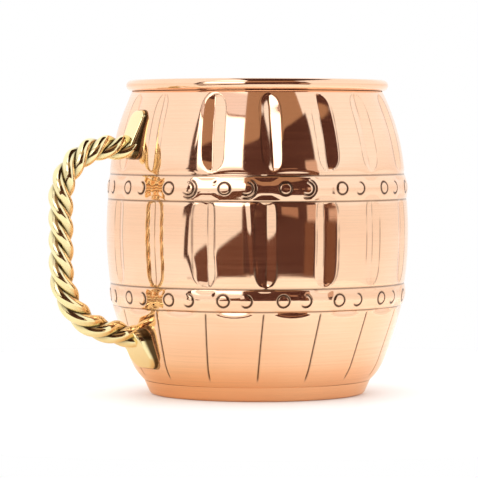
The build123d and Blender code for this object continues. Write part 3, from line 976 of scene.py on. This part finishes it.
def table_material():
    """A matt white studio table. In reflections it shows painted warm shade close to the mug and painted
    brighter light to the right.
    """
    material = bpy.data.materials.new("studio_table")
    material.use_nodes = True
    n = Nodes(material.node_tree)
    place = n.add("ShaderNodeTexCoord").outputs["Object"]
    shade = n.noise(place, TABLE_NOISE)
    distance = n.add("ShaderNodeVectorMath", operation="LENGTH")
    n.link(place, distance.inputs[0])
    side = n.add("ShaderNodeVectorMath", operation="DOT_PRODUCT")
    n.link(place, side.inputs[0])
    side.inputs[1].default_value = camera_direction()[1]
    plain = n.mix(shade, *TABLE_COLOURS)
    # Seen only by glossy rays: painted warm shade near the mug, and painted brighter light to the right.
    painted_light = n.mix(n.remap(distance.outputs["Value"], *PAINTED_SHADE_DISTANCES), NEAR_PAINTED_SHADE, FAR_PAINTED_LIGHT)
    painted_light = n.mix(n.remap(side.outputs["Value"], *RIGHT_DISTANCES, 0.0, RIGHT_SHARE), painted_light, RIGHT_PAINTED_LIGHT)
    mirrored = n.add("ShaderNodeLightPath").outputs["Is Glossy Ray"]
    shader = n.add("ShaderNodeBsdfPrincipled")
    shader.inputs["Roughness"].default_value = TABLE_ROUGHNESS
    shader.inputs["Specular IOR Level"].default_value = TABLE_SPECULAR
    n.link(n.mix(mirrored, plain, painted_light), shader.inputs["Base Color"])
    n.link(shader.outputs[0], n.add("ShaderNodeOutputMaterial").inputs["Surface"])
    return material


# The studio.

def camera_direction():
    """From the mug towards the camera, level, and the direction to the image's right."""
    t = math.radians(CAMERA_AZIMUTH)
    towards = Vector((math.sin(t), -math.cos(t), 0))
    return towards, Vector((math.cos(t), math.sin(t), 0))


def studio_world():
    """A white room with a bright softbox to the left, and the dark end of the room behind the camera."""
    world = bpy.data.worlds.new("studio")
    bpy.context.scene.world = world
    world.use_nodes = True
    n = Nodes(world.node_tree)
    direction = n.add("ShaderNodeTexCoord").outputs["Generated"]
    towards, right = camera_direction()

    def along(axis):
        node = n.add("ShaderNodeVectorMath", operation="DOT_PRODUCT")
        n.link(direction, node.inputs[0])
        node.inputs[1].default_value = axis
        return node.outputs["Value"]

    up = along(Vector((0, 0, 1)))
    azimuth = n.math("DEGREES", n.math("ARCTAN2", along(right), along(towards)))
    elevation = n.math("DEGREES", n.math("ARCSINE", up))

    def rising(value, low, high):
        return n.remap(value, low, high, smooth=True)

    def falling(value, low, high):
        return n.remap(value, low, high, 1.0, 0.0, smooth=True)

    def window(value, low, high, soft):
        rise = rising(value, low - soft, low + soft)
        return n.math("MULTIPLY", rise, falling(value, high - soft, high + soft))

    def leant(lean):
        return n.math("ADD", azimuth, n.math("MULTIPLY", elevation, lean))

    def tilted(tilt):
        return n.math("SUBTRACT", elevation, n.math("MULTIPLY", azimuth, tilt))

    def area(azimuths, elevations, soft, tilt=0.0):
        sides = window(azimuth, *azimuths, soft)
        return n.math("MULTIPLY", sides, window(tilted(tilt), *elevations, soft))

    def leaning_bar(lean, azimuths, elevations, soft):
        ends = window(elevation, *elevations, FLAG_END_SOFTNESS)
        return n.math("MULTIPLY", window(leant(lean), *azimuths, soft), ends)

    wedge = window(elevation, *WEDGE_ELEVATIONS, WEDGE_SOFTNESS)
    wedge = n.math("MULTIPLY", wedge, rising(leant(WEDGE_LEAN), *WEDGE_LEFT))
    wedge = n.math("MULTIPLY", wedge, falling(azimuth, *WEDGE_RIGHT))
    kept_floor = rising(leant(FLOOR_CUT_LEAN), *FLOOR_CUT)
    kept_floor = n.math("MAXIMUM", kept_floor, falling(elevation, *FLOOR_UNCUT))
    ceiling = n.math("DIVIDE", along(right), n.math("MAXIMUM", up, CEILING_LEAST))
    ceiling = window(ceiling, *CEILING_SIDES, CEILING_SOFTNESS)
    furniture = falling(tilted(FURNITURE_TILT), *FURNITURE_TOP)

    # Each surface covers the ones before it.
    surfaces = [(n.remap(elevation, *HORIZON_TO_ROOM), ROOM_LIGHT)]
    surfaces += [(area(*extent), colour) for *extent, colour in SOFTBOX]
    surfaces += [(leaning_bar(*bar), BLACK_FLAG) for bar in FLAG_FOOT]
    surfaces += [
        (wedge, BLACK_FLAG),
        (n.math("MULTIPLY", area(*DARK_FLOOR), kept_floor), DARK_FLOOR_COLOUR),
        (area(*WALL), WALL_COLOUR),
        (n.math("MULTIPLY", ceiling, rising(elevation, *CEILING_EDGE)), CEILING_COLOUR),
        (n.math("MULTIPLY", furniture, area(*FURNITURE)), FURNITURE_COLOUR),
    ]
    surfaces += [(area(*extent), colour) for *extent, colour in PATCHES]
    rays = n.add("ShaderNodeLightPath").outputs
    surfaces += [(rays["Is Diffuse Ray"], SOFT_LIGHT), (rays["Is Camera Ray"], BACKDROP)]
    light = n.mix(n.remap(elevation, *FLOOR_TO_HORIZON), FLOOR_LIGHT, HORIZON_LIGHT)
    for mask, colour in surfaces:
        light = n.mix(mask, light, colour)
    background = n.add("ShaderNodeBackground")
    n.link(light, background.inputs["Color"])
    n.link(background.outputs[0], n.add("ShaderNodeOutputWorld").inputs["Surface"])


def studio_table():
    """The round table top, which ends a little in front of the mug as a small photo table does."""
    t = np.arange(TABLE_CORNERS) * 2 * math.pi / TABLE_CORNERS
    points = [(TABLE_RADIUS * math.cos(a), TABLE_RADIUS * math.sin(a), 0.0) for a in t]
    obj = new_object("table_top", points, [list(range(TABLE_CORNERS))], table_material())


def camera():
    """The camera, in front of the mug and turned towards its handle, a little below the rim's height."""
    towards, right = camera_direction()
    data = bpy.data.cameras.new("camera")
    data.lens = LENS
    data.sensor_width = SENSOR_WIDTH
    data.clip_end = FARTHEST
    obj = bpy.data.objects.new("camera", data)
    obj.location = (towards * CAMERA_DISTANCE + Vector((0, 0, CAMERA_HEIGHT))) * MM
    pitch, yaw = math.radians(90 + CAMERA_PITCH), math.radians(CAMERA_AZIMUTH + CAMERA_YAW)
    obj.rotation_euler = (pitch, 0, yaw)
    bpy.context.scene.collection.objects.link(obj)
    bpy.context.scene.camera = obj


def carried_over(node, material):
    """Gives a CAD piece that stays in view its own material."""
    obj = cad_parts[node]
    for slot in obj.material_slots:
        slot.material = material


bpy.context.scene.view_settings.view_transform = "Standard"
looks = {name: metal(name, **settings) for name, settings in METALS.items()}
copper_sheet = looks["polished_copper"]
cast_brass = looks["polished_brass"]
barrel_shell(copper_sheet)
base_pan(copper_sheet)
rope(cast_brass)
tab("upper_tab", UPPER_TAB, UPPER_TAB_FRONT, UPPER_TAB_WIDTH, TAB_CORNERS[0], cast_brass)
tab("lower_tab", LOWER_TAB, LOWER_TAB_FRONT, LOWER_TAB_WIDTH, TAB_CORNERS[1], cast_brass)
carried_over("base_solder", looks["seam_solder"])
carried_over("upper_tab_braze", looks["tab_braze"])
carried_over("lower_tab_braze", looks["tab_braze"])
studio_world()
studio_table()
camera()
